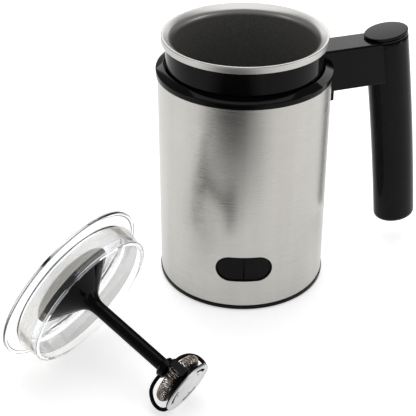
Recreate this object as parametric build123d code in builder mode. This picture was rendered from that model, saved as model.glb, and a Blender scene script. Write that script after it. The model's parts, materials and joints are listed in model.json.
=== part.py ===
from build123d import *
import os
from math import cos, radians, sin, sqrt

# Milk frother: a jug with a side handle, and its lid with the magnetic whisk lying beside it.
# Origin: centre of the jug's foot circle on the table. +Z up, -Y is the control side. Millimetres.

# ---- jug levels and radii ----
FOOT_H = 0.4            # base cover's height above the table
SHELL_R, SHELL_T = 53.5, 0.8
SHELL_BOTTOM, SHELL_TOP = 3.5, 142.0
BASE_R = 54.0            # the base cover shows as a black ring under the shell
COLLAR_R, COLLAR_BORE = 48.4, 46.6
COLLAR_FOOT, COLLAR_TOP = 130.0, 164.0
RIM_R = 50.8
RIM_SKIRT, RIM_TOP = 162.8, 167.2
MOUTH_R, MOUTH_Z = 44.2, 164.0  # inner radius of the cup and where its funnel starts
CUP_T = 0.8
CUP_FLOOR = 70.0
CUP_FILLET = 8.0
RING_R, RING_BORE = 54.6, 49.4  # shoulder ring
RING_FOOT, RING_EDGE, RING_TOP = 141.4, 145.4, 148.0
PLUG_R = SHELL_R - SHELL_T - 0.1  # parts that slip inside the shell's ends

# ---- handle ----
HANDLE_AZ = 19.0        # degrees from +X towards +Y
HANDLE_HALF_GAP = 53.0  # half of the shoulder ring's cut-away, degrees
ARM_W = 21.0
ARM_TOP, ARM_BOTTOM = 151.8, 124.0
ARM_ROUND = 1.2
LIP_BOTTOM = 117.5
LIP_R_IN, LIP_R_OUT = 55.2, 57.7
TENON_W, TENON_Z0, TENON_Z1 = 12.0, 128.0, 144.4
TENON_END = 93.0        # the arm's tenon ends inside the hollow grip
GRIP_A, GRIP_B = 14.2, 12.2     # half axes of the oval grip
GRIP_TOP_R, GRIP_TOP_Z = 95.0, 155.9
GRIP_LEAN_TOP, GRIP_LEAN_END = 9.3, 5.7
GRIP_LEN = 140.0
GRIP_WALL = 2.6
GRIP_ROUND = 4.0
WEB_S, WEB_T = 7.6, 1.8         # cross wall that the grip screw pulls down on
CAP_T, CAP_GAP = 1.5, 0.5
SCREW_Z, SCREW_OFF, SCREW_R = 146.6, 6.0, 1.5

# ---- control window ----
WINDOW_Z = 31.0
WINDOW_W, WINDOW_H = 35.5, 18.0
BEZEL_W, BEZEL_H, BEZEL_R = 34.9, 17.4, 52.6
OPENING_W, OPENING_H = 33.7, 16.2
KEY_W, KEY_H, KEY_R = 33.1, 15.6, 52.4  # both keys together
KEY_SPLIT = 0.6
KEY_X = 8.0
KEY_BACK, BEZEL_BACK = 46.8, 46.5       # distances in front of the axis
BOARD_FRONT, BOARD_BACK = 42.2, 40.6
WALL_BACK = 38.6
BOARD_SCREW_X, BOARD_SCREW_Z = 15.0, 41.5

# ---- base and socket ----
BASE_FLOOR, BASE_WALL_TOP = 3.2, 14.0
POST_R = 34.0                   # circle of the chassis posts and base screws
POSTS = (90, 210, 330)
FOOT_R, FOOT_SPOT_R, FOOT_TOP = 4.0, 42.0, 1.6
FEET = (45, 135, 225, 315)
SOCKET_R, SOCKET_Z = 9.5, 11.2
SOCKET_WALL_R, SOCKET_TOP = 13.0, 14.0
CONTACT_RINGS = ((0.0, 1.8), (4.0, 5.0), (7.0, 8.0))
CONTACT_T = 0.8

# ---- drive ----
PLATE_Z, PLATE_T = 20.0, 2.4
STANDOFF_X = 22.0
MOTOR_R, MOTOR_Z0, MOTOR_Z1 = 14.0, 24.4, 52.4
MOTOR_WALL = 1.2
BEARING_R = 4.0
SHAFT_R = 1.2
RUN_FIT = 0.05                  # radial clearance of the running fits
BRACKET_T = 1.6
CARRIER_R, CARRIER_Z0, CARRIER_Z1 = 15.0, 61.0, 67.2
MAGNET_R, MAGNET_X, MAGNET_Z = 3.6, 10.0, 63.2

# ---- heater ----
HEAT_PLATE_Z = 66.2
ELEMENT_R, ELEMENT_TUBE = 31.5, 2.8
SENSOR_R = 23.0                 # circle of the fuse and the temperature sensor

# ---- lid; t is the distance from the flange's top face along the stem ----
FLANGE_R, FLANGE_T = 52.4, 2.2
FLANGE_ROUND = 0.8
SKIRT_R, SKIRT_T, SKIRT_END = 43.2, 1.8, 18.4
STEM_R, STEM_END = 4.1, 74.6
CONE_R, CONE_END = 28.0, 18.6
AXLE_T, AXLE_END = 62.0, 89.4
HUB_T, HUB_END = 75.0, 87.8
COIL_T, COIL_R, COIL_TUBE = 86.5, 12.9, 3.1
HOUSING_R, HOUSING_T = 13.0, 90.0
DISC_R, DISC_TOP, DISC_T = 16.5, 93.8, 0.8
HOOP_R = 1.15
STRAP_AZ = (66, 246)
STRAP_W = 4.6
SLOT_AZ = (11, 131, 251)        # of the disc's slots and holes
LID_TILT = 21.1                 # the stem points this much below the horizontal
LID_AZ = -37.6                  # and this way, from +X
LID_XY = (-103.4, -93.3)

os.makedirs("parts", exist_ok=True)


def save(piece, name):
    piece.part.label = name
    export_step(piece.part, f"parts/{name}.step")


def polar(r, az):
    return r * cos(radians(az)), r * sin(radians(az))


def section_plane(az):
    """Upright plane through the jug's axis: x points outwards at azimuth az, y up."""
    return Plane(origin=(0, 0, 0), x_dir=(*polar(1, az), 0), z_dir=(*polar(1, az - 90), 0))


def ring(z0, z1, r_out, r_in=0.0, spots=((0, 0),), base=Plane.XY, mode=Mode.ADD):
    """Discs or tubes between two levels of a base plane, one at each spot."""
    with BuildSketch(base.offset(z0)) as outline:
        with Locations(*spots):
            Circle(r_out)
        if r_in > 0:
            with Locations(*spots):
                Circle(r_in, mode=Mode.SUBTRACT)
    extrude(outline.sketch, amount=z1 - z0, mode=mode)


def block(size, centre, base=Plane.XY, mode=Mode.ADD):
    """Box of the base plane's directions about a centre given in that plane."""
    with BuildSketch(base.offset(centre[2] - size[2] / 2)) as outline:
        with Locations(centre[:2]):
            Rectangle(size[0], size[1])
    extrude(outline.sketch, amount=size[2], mode=mode)


def arc_bar(z0, z1, r_in, r_out, az, half, base=Plane.XY, mode=Mode.ADD):
    """Part of a ring: from az - half to az + half degrees."""
    with BuildSketch(base.offset(z0)) as outline:
        with BuildLine():
            outer = CenterArc((0, 0), r_out, az - half, 2 * half)
            inner = CenterArc((0, 0), r_in, az - half, 2 * half)
            Line(outer @ 0, inner @ 0)
            Line(outer @ 1, inner @ 1)
        make_face()
    extrude(outline.sketch, amount=z1 - z0, mode=mode)


def turned(points, base=Plane.XZ, axis=Axis.Z, arc=360.0):
    """Solid of revolution from a closed outline of (radius, height) points."""
    with BuildSketch(base) as outline:
        Polygon(*points, align=None)
    revolve(outline.sketch, axis=axis, revolution_arc=arc)


# =========================== jug: outer pieces ===========================

with BuildPart() as outer_shell:
    ring(SHELL_BOTTOM, SHELL_TOP, SHELL_R, SHELL_R - SHELL_T)
    with BuildSketch(Plane.XZ.offset(SHELL_R - 8)):
        with Locations((0, WINDOW_Z)):
            SlotOverall(WINDOW_W, WINDOW_H)
    extrude(amount=12, mode=Mode.SUBTRACT)
save(outer_shell, "outer_shell")

# Pressed steel cup: straight wall, funnel and rolled rim in one sheet.
CUP_WALL_R = MOUTH_R + CUP_T
with BuildPart() as cup:
    with BuildSketch(Plane.XZ):
        with BuildLine():
            flat = MOUTH_R - CUP_FILLET
            Line((0, CUP_FLOOR - CUP_T), (flat, CUP_FLOOR - CUP_T))
            outer = RadiusArc(
                (flat, CUP_FLOOR - CUP_T), (CUP_WALL_R, CUP_FLOOR + CUP_FILLET), -(CUP_FILLET + CUP_T)
            )
            Polyline(
                (CUP_WALL_R, CUP_FLOOR + CUP_FILLET),
                (CUP_WALL_R, MOUTH_Z - CUP_T),
                (RIM_R - CUP_T, RIM_TOP - CUP_T - 0.2),
                (RIM_R - CUP_T, RIM_SKIRT),
                (RIM_R, RIM_SKIRT),
                (RIM_R, RIM_TOP - 0.4),
                (RIM_R - 0.5, RIM_TOP),
                (MOUTH_R + 0.3, MOUTH_Z + 0.1),
                (MOUTH_R, MOUTH_Z - 0.6),
                (MOUTH_R, CUP_FLOOR + CUP_FILLET),
            )
            RadiusArc((MOUTH_R, CUP_FLOOR + CUP_FILLET), (flat, CUP_FLOOR), CUP_FILLET)
            Polyline((flat, CUP_FLOOR), (0, CUP_FLOOR), (0, CUP_FLOOR - CUP_T))
        make_face()
    revolve(axis=Axis.Z)
save(cup, "cup")

HANDLE = section_plane(HANDLE_AZ)
OUTWARDS = Plane(origin=(0, 0, 0), x_dir=(*polar(1, HANDLE_AZ + 90), 0), z_dir=(*polar(1, HANDLE_AZ), 0))
ARM_SCREWS = ((-SCREW_OFF, SCREW_Z), (SCREW_OFF, SCREW_Z))

# Neck of the jug: a tube with a foot flange that fits inside the shell's upper end.
with BuildPart() as collar:
    turned((
        (COLLAR_BORE, COLLAR_FOOT), (PLUG_R, COLLAR_FOOT), (PLUG_R, RING_FOOT), (COLLAR_R, RING_FOOT),
        (COLLAR_R, COLLAR_TOP - 0.4), (COLLAR_R - 0.4, COLLAR_TOP), (COLLAR_BORE, COLLAR_TOP),
    ))
    ring(30, 60, SCREW_R + 0.2, spots=ARM_SCREWS, base=OUTWARDS, mode=Mode.SUBTRACT)
save(collar, "collar")

with BuildPart() as cup_gasket:
    ring(152, 156, COLLAR_BORE, CUP_WALL_R)
save(cup_gasket, "cup_gasket")

with BuildPart() as shoulder_ring:
    turned(
        (
            (RING_BORE, RING_FOOT), (PLUG_R, RING_FOOT), (PLUG_R, SHELL_TOP), (RING_R, SHELL_TOP),
            (RING_R, RING_EDGE - 0.4), (RING_R - 0.4, RING_EDGE),
            (RING_BORE + 0.5, RING_TOP), (RING_BORE, RING_TOP - 0.3),
        ),
        base=section_plane(HANDLE_AZ + HANDLE_HALF_GAP),
        arc=360 - 2 * HANDLE_HALF_GAP,
    )
save(shoulder_ring, "shoulder_ring")


# =========================== handle ===========================

LEAN = radians(GRIP_LEAN_TOP), radians(GRIP_LEAN_END)


def grip_plane(s):
    """Section of the grip s below its top: x points outwards, z back up along the grip."""
    bend_r = GRIP_LEN / (LEAN[0] - LEAN[1])
    a = LEAN[0] + (LEAN[1] - LEAN[0]) * s / GRIP_LEN
    r = GRIP_TOP_R + bend_r * (cos(a) - cos(LEAN[0]))
    z = GRIP_TOP_Z - bend_r * (sin(LEAN[0]) - sin(a))
    up = Vector(0, 0, 1)
    return Plane(
        origin=HANDLE.x_dir * r + up * z,
        x_dir=HANDLE.x_dir * cos(a) + up * sin(a),
        z_dir=up * cos(a) - HANDLE.x_dir * sin(a),
    )


def grip_loft(s0, s1, inset, mode=Mode.ADD):
    """Oval bar along the grip's curved line."""
    faces = []
    for i in range(6):
        with BuildSketch(grip_plane(s0 + (s1 - s0) * i / 5)) as oval:
            Ellipse(GRIP_A - inset, GRIP_B - inset)
        faces.append(oval.sketch)
    loft(faces, mode=mode)


GRIP_BODY = 2 * (CAP_T + CAP_GAP) + 0.04    # the body starts this far below the cap's top face
TENON = (TENON_W, TENON_Z1 - TENON_Z0, TENON_END - 60)
TENON_MID = (0, (TENON_Z0 + TENON_Z1) / 2, (TENON_END + 60) / 2)
GRIP_SCREW = ((-6.0, 0.0),)

with BuildPart() as grip_shell:
    grip_loft(GRIP_BODY, GRIP_LEN, 0)
    fillet(grip_shell.faces().sort_by(Axis.Z)[0].edges(), GRIP_ROUND)
    grip_loft(GRIP_BODY - 0.5, GRIP_LEN - 2 * GRIP_WALL, GRIP_WALL, mode=Mode.SUBTRACT)
    with BuildSketch(grip_plane(WEB_S)) as web:
        Ellipse(GRIP_A - GRIP_WALL + 0.5, GRIP_B - GRIP_WALL + 0.5)
    extrude(web.sketch, amount=-WEB_T)
    ring(5, -10, SCREW_R + 0.2, spots=GRIP_SCREW, base=grip_plane(WEB_S), mode=Mode.SUBTRACT)
    block(TENON, TENON_MID, base=OUTWARDS, mode=Mode.SUBTRACT)
save(grip_shell, "grip_shell")

# Flat plate, shadow gap, second lip and its gap, then a plug inside the grip's wall.
with BuildPart() as grip_cap:
    depth = 0.0
    for thick, inset in ((CAP_T, 0), (CAP_GAP, 1.2), (CAP_T, 0.1), (CAP_GAP, 1.2), (1.2, GRIP_WALL + 0.3)):
        with BuildSketch(grip_plane(0).offset(-depth)) as oval:
            Ellipse(GRIP_A - inset, GRIP_B - inset)
        extrude(oval.sketch, amount=-thick)
        depth += thick
save(grip_cap, "grip_cap")

with BuildPart() as grip_screw:
    ring(0, 2.0, 2.8, spots=GRIP_SCREW, base=grip_plane(WEB_S))
    ring(-12, 0, SCREW_R, spots=GRIP_SCREW, base=grip_plane(WEB_S))
save(grip_screw, "grip_screw")

with BuildPart() as handle_arm:
    with BuildSketch(OUTWARDS.offset(40)) as section:
        with Locations((0, (ARM_TOP + ARM_BOTTOM) / 2)):
            RectangleRounded(ARM_W, ARM_TOP - ARM_BOTTOM, ARM_ROUND)
    extrude(section.sketch, amount=56)
    ring(RING_FOOT, ARM_TOP + 5, COLLAR_R + 0.05, mode=Mode.SUBTRACT)
    ring(100, SHELL_TOP, LIP_R_IN, mode=Mode.SUBTRACT)
    # Skirt hanging down in front of the shell.
    with BuildSketch(Plane.XY.offset(LIP_BOTTOM)) as lip:
        Circle(LIP_R_OUT)
        Circle(LIP_R_IN, mode=Mode.SUBTRACT)
        with Locations(Location(polar(60, HANDLE_AZ), HANDLE_AZ)):
            Rectangle(20, ARM_W - 2 * ARM_ROUND, mode=Mode.INTERSECT)
    extrude(lip.sketch, amount=ARM_BOTTOM + 2 - LIP_BOTTOM)
    # Saddle that fills the shoulder ring's cut-away.
    turned(
        (
            (RING_BORE, RING_FOOT), (PLUG_R, RING_FOOT), (PLUG_R, SHELL_TOP), (RING_R - 0.4, SHELL_TOP),
            (RING_R - 0.4, RING_EDGE + 0.2), (RING_BORE, RING_TOP - 0.8),
        ),
        base=section_plane(HANDLE_AZ + HANDLE_HALF_GAP - 0.4),
        arc=-(2 * HANDLE_HALF_GAP - 0.8),
    )
    grip_loft(-6, 60, -0.1, mode=Mode.SUBTRACT)
    block(TENON, TENON_MID, base=OUTWARDS)
    ring(46, 53.5, SCREW_R, spots=ARM_SCREWS, base=OUTWARDS, mode=Mode.SUBTRACT)
    ring(-12, 0, SCREW_R, spots=GRIP_SCREW, base=grip_plane(WEB_S), mode=Mode.SUBTRACT)
save(handle_arm, "handle_arm")

with BuildPart() as arm_screws:
    ring(44.95, 45.75, 2.6, spots=ARM_SCREWS, base=OUTWARDS)
    ring(45.75, 53.5, SCREW_R, spots=ARM_SCREWS, base=OUTWARDS)
save(arm_screws, "arm_screws")


# =========================== base and power socket ===========================

FOOT_SPOTS = [polar(FOOT_SPOT_R, az) for az in FEET]
POST_SPOTS = [polar(POST_R, az) for az in POSTS]

with BuildPart() as base_cover:
    turned((
        (SOCKET_WALL_R, FOOT_H), (BASE_R - 0.8, FOOT_H), (BASE_R, FOOT_H + 0.8), (BASE_R, SHELL_BOTTOM - 0.1),
        (PLUG_R, SHELL_BOTTOM - 0.1), (PLUG_R, BASE_WALL_TOP), (PLUG_R - 2, BASE_WALL_TOP),
        (PLUG_R - 2, BASE_FLOOR), (SOCKET_WALL_R, BASE_FLOOR),
    ))
    ring(FOOT_H, FOOT_TOP, FOOT_R, spots=FOOT_SPOTS, mode=Mode.SUBTRACT)
    ring(FOOT_H, 2.2, 3.2, spots=POST_SPOTS, mode=Mode.SUBTRACT)
    ring(FOOT_H, BASE_FLOOR, SCREW_R + 0.2, spots=POST_SPOTS, mode=Mode.SUBTRACT)
save(base_cover, "base_cover")

with BuildPart() as rubber_feet:
    ring(0, FOOT_TOP, FOOT_R, spots=FOOT_SPOTS)
save(rubber_feet, "rubber_feet")

with BuildPart() as base_screws:
    ring(0.9, 2.2, 3.0, spots=POST_SPOTS)
    ring(2.2, 12, SCREW_R, spots=POST_SPOTS)
save(base_screws, "base_screws")

with BuildPart() as power_socket:
    ring(FOOT_H, SOCKET_TOP, SOCKET_WALL_R)
    ring(BASE_FLOOR, BASE_FLOOR + 1.8, SOCKET_WALL_R + 3)
    ring(FOOT_H, SOCKET_Z, SOCKET_R, mode=Mode.SUBTRACT)
    for r_in, r_out in CONTACT_RINGS:
        ring(SOCKET_Z, SOCKET_Z + CONTACT_T, r_out, r_in, mode=Mode.SUBTRACT)
save(power_socket, "power_socket")

with BuildPart() as socket_contacts:
    for r_in, r_out in CONTACT_RINGS:
        ring(SOCKET_Z, SOCKET_Z + CONTACT_T, r_out, r_in)
save(socket_contacts, "socket_contacts")


# =========================== chassis, boards and keys ===========================

BOARD_POSTS = ((-19, 22), (19, 22), (-19, -17), (19, -17))
PCB_Z, PCB_T = SOCKET_TOP, 1.6
STANDOFFS = ((-STANDOFF_X, 0), (STANDOFF_X, 0))
BOARD_SCREWS = ((-BOARD_SCREW_X, BOARD_SCREW_Z), (BOARD_SCREW_X, BOARD_SCREW_Z))
FRONT = Plane.XZ        # its normal points to the control side, so levels are distances in front

with BuildPart() as inner_chassis:
    ring(PLATE_Z, PLATE_Z + PLATE_T, 50.2)
    block((120, 20, 10), (0, -51, PLATE_Z), mode=Mode.SUBTRACT)
    ring(BASE_FLOOR, PLATE_Z, 4.0, spots=POST_SPOTS)
    ring(BASE_FLOOR, 12, SCREW_R, spots=POST_SPOTS, mode=Mode.SUBTRACT)
    ring(PCB_Z + PCB_T, PLATE_Z, 2.0, spots=BOARD_POSTS)
    ring(PLATE_Z + PLATE_T, MOTOR_Z1, 3.0, spots=STANDOFFS)
    ring(44, MOTOR_Z1, SHAFT_R, spots=STANDOFFS, mode=Mode.SUBTRACT)
    block((36, 24, BOARD_BACK - WALL_BACK), (0, 34, (BOARD_BACK + WALL_BACK) / 2), base=FRONT)
    ring(WALL_BACK, BOARD_BACK, 1.0, spots=BOARD_SCREWS, base=FRONT, mode=Mode.SUBTRACT)
save(inner_chassis, "inner_chassis")

with BuildPart() as power_board:
    block((44, 46, PCB_T), (0, 3, PCB_Z + PCB_T / 2))
save(power_board, "power_board")

with BuildPart() as power_capacitor:
    ring(-12, 12, 4.2, spots=((20, PCB_Z - 4.3),), base=Plane.YZ)
save(power_capacitor, "power_capacitor")

with BuildPart() as heater_relay:
    block((20, 6, PCB_Z - 5.2), (0, -17.2, (PCB_Z + 5.2) / 2))
save(heater_relay, "heater_relay")

with BuildPart() as control_board:
    block((38, 22, BOARD_FRONT - BOARD_BACK), (0, 34.4, (BOARD_FRONT + BOARD_BACK) / 2), base=FRONT)
    ring(BOARD_BACK, BOARD_FRONT, 1.0, spots=BOARD_SCREWS, base=FRONT, mode=Mode.SUBTRACT)
save(control_board, "control_board")

with BuildPart() as board_screws:
    ring(WALL_BACK, BOARD_FRONT, 1.0, spots=BOARD_SCREWS, base=FRONT)
    ring(BOARD_FRONT, BOARD_FRONT + 1.4, 1.8, spots=BOARD_SCREWS, base=FRONT)
save(board_screws, "board_screws")

KEYS = ((-KEY_X, WINDOW_Z), (KEY_X, WINDOW_Z))
with BuildPart() as key_switches:
    for x, z in KEYS:
        block((6, 6, 1.8), (x, z, BOARD_FRONT + 0.9), base=FRONT)
    ring(BOARD_FRONT + 1.8, BOARD_FRONT + 2.15, 1.5, spots=KEYS, base=FRONT)
save(key_switches, "key_switches")


def window_slab(width, height, back, front_r):
    """Stadium-shaped slab whose front follows the shell's curve."""
    with BuildSketch(FRONT.offset(back)) as outline:
        with Locations((0, WINDOW_Z)):
            SlotOverall(width, height)
    extrude(outline.sketch, amount=SHELL_R - back)
    ring(0, 2 * WINDOW_Z, front_r, mode=Mode.INTERSECT)


with BuildPart() as control_bezel:
    window_slab(BEZEL_W, BEZEL_H, BEZEL_BACK, BEZEL_R)
    with BuildSketch(FRONT.offset(BEZEL_BACK)) as flange:
        with Locations((0, WINDOW_Z)):
            RectangleRounded(42, 24, 3)
    with BuildSketch(Plane.XY.offset(WINDOW_Z - 15)) as band:
        Circle(PLUG_R)
        Circle(PLUG_R - 1.8, mode=Mode.SUBTRACT)
    plate = extrude(flange.sketch, amount=10, mode=Mode.PRIVATE)
    tube = extrude(band.sketch, amount=30, mode=Mode.PRIVATE)
    add(plate & tube)
    with BuildSketch(FRONT.offset(40)) as hole:
        with Locations((0, WINDOW_Z)):
            SlotOverall(OPENING_W, OPENING_H)
    extrude(hole.sketch, amount=20, mode=Mode.SUBTRACT)
save(control_bezel, "control_bezel")

for side, name in ((1, "button_hot"), (-1, "button_cold")):
    with BuildPart() as key:
        window_slab(KEY_W, KEY_H, KEY_BACK, KEY_R)
        block((40, 40, 40), (side * (KEY_SPLIT / 2 - 20), WINDOW_Z, 50), base=FRONT, mode=Mode.SUBTRACT)
        ring(KEY_BACK - 1.6, KEY_BACK, 2.0, spots=((side * KEY_X, WINDOW_Z),), base=FRONT)
    save(key, name)


# =========================== motor and drive ===========================

with BuildPart() as motor_damper:
    ring(PLATE_Z + PLATE_T, MOTOR_Z0, MOTOR_R, 6)
save(motor_damper, "motor_damper")

with BuildPart() as motor_can:
    ring(MOTOR_Z0, MOTOR_Z1, MOTOR_R)
    ring(MOTOR_Z0 + MOTOR_WALL, MOTOR_Z1 - MOTOR_WALL, MOTOR_R - 1, mode=Mode.SUBTRACT)
    ring(MOTOR_Z1 - MOTOR_WALL, MOTOR_Z1, BEARING_R, mode=Mode.SUBTRACT)
save(motor_can, "motor_can")

with BuildPart() as shaft_bearings:
    ring(MOTOR_Z0 + MOTOR_WALL, MOTOR_Z0 + 4.6, BEARING_R, SHAFT_R + RUN_FIT)
    ring(MOTOR_Z1 - 2, MOTOR_Z1 + 2.4, BEARING_R, SHAFT_R + RUN_FIT)
save(shaft_bearings, "shaft_bearings")

with BuildPart() as motor_magnets:
    for az in (0, 180):
        arc_bar(30, 48, MOTOR_R - 3, MOTOR_R - 1, az, 70)
save(motor_magnets, "motor_magnets")

with BuildPart() as motor_shaft:
    ring(MOTOR_Z0 + 1.8, CARRIER_Z0 + 1.5, SHAFT_R)
save(motor_shaft, "motor_shaft")

with BuildPart() as motor_armature:
    ring(31, 47, 10.2, SHAFT_R)
save(motor_armature, "motor_armature")

with BuildPart() as motor_bracket:
    with BuildSketch(Plane.XY.offset(MOTOR_Z1)):
        SlotOverall(2 * STANDOFF_X + 10, 10)
        Circle(12)
        Circle(BEARING_R, mode=Mode.SUBTRACT)
        with Locations(*STANDOFFS):
            Circle(SHAFT_R, mode=Mode.SUBTRACT)
    extrude(amount=BRACKET_T)
save(motor_bracket, "motor_bracket")

with BuildPart() as bracket_screws:
    ring(44, MOTOR_Z1 + BRACKET_T, SHAFT_R, spots=STANDOFFS)
    ring(MOTOR_Z1 + BRACKET_T, MOTOR_Z1 + BRACKET_T + 1.8, 2.6, spots=STANDOFFS)
save(bracket_screws, "bracket_screws")

MAGNETS = ((-MAGNET_X, 0), (MAGNET_X, 0))
with BuildPart() as magnet_carrier:
    ring(CARRIER_Z0, CARRIER_Z1, CARRIER_R)
    ring(CARRIER_Z0 - 4, CARRIER_Z0, 3.5)
    ring(CARRIER_Z0 - 4, CARRIER_Z0 + 1.5, SHAFT_R, mode=Mode.SUBTRACT)
    ring(MAGNET_Z, CARRIER_Z1, MAGNET_R, spots=MAGNETS, mode=Mode.SUBTRACT)
save(magnet_carrier, "magnet_carrier")

with BuildPart() as drive_magnets:
    ring(MAGNET_Z, CARRIER_Z1, MAGNET_R, spots=MAGNETS)
save(drive_magnets, "drive_magnets")


# =========================== heater ===========================

with BuildPart() as heat_plate:
    ring(HEAT_PLATE_Z, CUP_FLOOR - CUP_T, 36, 17.5)
save(heat_plate, "heat_plate")

ELEMENT_Z = HEAT_PLATE_Z - ELEMENT_TUBE
with BuildPart() as heating_element:
    with BuildSketch(section_plane(-60)):
        with Locations((ELEMENT_R, ELEMENT_Z)):
            Circle(ELEMENT_TUBE)
    revolve(axis=Axis.Z, revolution_arc=300)
save(heating_element, "heating_element")

with BuildPart() as heater_terminals:
    ring(52, ELEMENT_Z - ELEMENT_TUBE, 1.2, spots=[polar(ELEMENT_R, az) for az in (238, 302)])
save(heater_terminals, "heater_terminals")

with BuildPart() as thermostat:
    ring(58, HEAT_PLATE_Z, 5.0, spots=(polar(SENSOR_R + 0.2, 90),))
save(thermostat, "thermostat")

with BuildPart() as temperature_sensor:
    ring(60, HEAT_PLATE_Z, 2.2, spots=(polar(SENSOR_R, 320),))
save(temperature_sensor, "temperature_sensor")

with BuildPart() as thermal_fuse:
    ring(-6, 6, 2.0, spots=((SENSOR_R, HEAT_PLATE_Z - 2),), base=section_plane(200))
save(thermal_fuse, "thermal_fuse")


# =========================== lid and whisk ===========================

TILT, TURN = radians(LID_TILT), radians(LID_AZ)
STEM_DIR = Vector(cos(TILT) * cos(TURN), cos(TILT) * sin(TURN), -sin(TILT))
LEVEL_DIR = Vector(-sin(TURN), cos(TURN), 0)
# The lid lies on its flange's edge and on the whisk disc's edge.
LID_Z = DISC_R * cos(TILT) + (DISC_TOP + DISC_T) * sin(TILT)
LID = Plane(
    origin=(*LID_XY, LID_Z),
    x_dir=(LEVEL_DIR + STEM_DIR.cross(LEVEL_DIR)) * (1 / sqrt(2)),
    z_dir=STEM_DIR,
)
LID_SECTION = Plane(origin=LID.origin, x_dir=LID.x_dir, z_dir=LID.y_dir * -1)
STEM_AXIS = Axis(LID.origin, LID.z_dir)


def lid_turned(points):
    """Solid turned about the stem from (radius, t) points."""
    turned(points, base=LID_SECTION, axis=STEM_AXIS)


with BuildPart() as lid_cover:
    edge = FLANGE_R - FLANGE_ROUND
    with BuildSketch(LID_SECTION) as profile:
        with BuildLine():
            Polyline(
                (edge, FLANGE_T), (SKIRT_R, FLANGE_T), (SKIRT_R, SKIRT_END - 1.2),
                (SKIRT_R + 0.5, SKIRT_END - 0.8), (SKIRT_R + 0.5, SKIRT_END - 0.2), (SKIRT_R + 0.2, SKIRT_END),
                (SKIRT_R - SKIRT_T, SKIRT_END), (SKIRT_R - SKIRT_T, FLANGE_T), (0, FLANGE_T),
                (0, 0), (50, 0), (50.3, -0.6), (edge, -0.6),
            )
            RadiusArc((edge, -0.6), (FLANGE_R, -0.6 + FLANGE_ROUND), -FLANGE_ROUND)
            Line((FLANGE_R, -0.6 + FLANGE_ROUND), (FLANGE_R, FLANGE_T - FLANGE_ROUND))
            RadiusArc((FLANGE_R, FLANGE_T - FLANGE_ROUND), (edge, FLANGE_T), -FLANGE_ROUND)
        make_face()
    revolve(profile.sketch, axis=STEM_AXIS)
save(lid_cover, "lid_cover")

with BuildPart() as lid_seal:
    lid_turned((
        (SKIRT_R, 4.5), (44.1, 4.5), (45.7, 5.5), (45.7, 6.2), (44.0, 7.4), (44.0, 8.6),
        (45.0, 9.5), (45.0, 10.2), (43.9, 11.3), (43.9, 12.2), (44.3, 12.6), (44.3, 13.1),
        (43.7, 13.6), (SKIRT_R, 13.6),
    ))
save(lid_seal, "lid_seal")

# Trumpet-shaped moulding: a hollow cone under the cover that narrows into the stem.
with BuildPart() as whisk_stem:
    with BuildSketch(LID_SECTION) as profile:
        Polygon(
            (CONE_R, FLANGE_T), (STEM_R, CONE_END), (STEM_R, STEM_END), (0, STEM_END),
            (0, CONE_END - 2.2), (STEM_R, CONE_END - 2.6), (CONE_R - 2, FLANGE_T),
            align=None,
        )
        fillet(profile.vertices().sort_by_distance(Vertex(STEM_R, CONE_END, 0))[0], 6.0)
    revolve(profile.sketch, axis=STEM_AXIS)
    ring(AXLE_T, STEM_END, SHAFT_R, base=LID, mode=Mode.SUBTRACT)
save(whisk_stem, "whisk_stem")

with BuildPart() as whisk_axle:
    ring(AXLE_T, AXLE_END, SHAFT_R, base=LID)
save(whisk_axle, "whisk_axle")

with BuildPart() as axle_clip:
    ring(HUB_END + 0.3, HUB_END + 0.9, 2.6, SHAFT_R, base=LID)
save(axle_clip, "axle_clip")

# Two bows of round bar from the hub's collar to the whisk's rim, as azimuth and (radius, t) points.
HOOPS = (
    (-32, ((3, 78.6), (9, 78.5), (13, 79.6), (16, 81.8), (17.9, 85.2), (18.1, 88.8), (17.5, 91.3), (16.9, 92.7))),
    (180, ((3, 77.6), (9, 77.4), (14, 78.5), (17.1, 81), (19.3, 84.8), (19.7, 88.8), (18.5, 91.5), (16.9, 92.7))),
)


def lid_section(az):
    """Half-plane through the stem, as radius and t."""
    x, y = polar(1, az)
    return Plane(origin=LID.origin, x_dir=LID.x_dir * x + LID.y_dir * y, z_dir=LID.x_dir * y - LID.y_dir * x)


with BuildPart() as whisk_hoops:
    for az, points in HOOPS:
        with BuildLine(lid_section(az)) as line:
            Spline(*points, tangents=((1, 0), (-0.6, 0.8)))
        with BuildSketch(Plane(origin=line.line @ 0, z_dir=line.line % 0)) as bar:
            Circle(HOOP_R)
        sweep(bar.sketch, path=line.line)
save(whisk_hoops, "whisk_hoops")

with BuildPart() as whisk_hub:
    lid_turned((
        (0, HUB_T), (5.4, HUB_T), (6.2, HUB_T + 0.8), (6.2, 79), (4.6, 80.4), (4.6, HUB_END), (0, HUB_END),
    ))
    for az in STRAP_AZ:
        with BuildSketch(lid_section(az).offset(-STRAP_W / 2)) as profile:
            Polygon(
                (3, 81), (16.4, 81), (17.4, 82), (17.4, 91.6), (13.2, 91.6), (13.2, 90.4),
                (16.1, 90.2), (16.1, 83.2), (3, 83.2),
                align=None,
            )
        extrude(profile.sketch, amount=STRAP_W)
    ring(HUB_T, HUB_END, SHAFT_R + RUN_FIT, base=LID, mode=Mode.SUBTRACT)
    add(whisk_hoops.part, mode=Mode.SUBTRACT)
save(whisk_hub, "whisk_hub")

# Coil spring closed into a ring, as the envelope of its windings.
with BuildPart() as whisk_spring:
    with BuildSketch(LID_SECTION) as profile:
        with Locations((COIL_R, COIL_T)):
            Circle(COIL_TUBE)
    revolve(profile.sketch, axis=STEM_AXIS)
save(whisk_spring, "whisk_spring")

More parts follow.
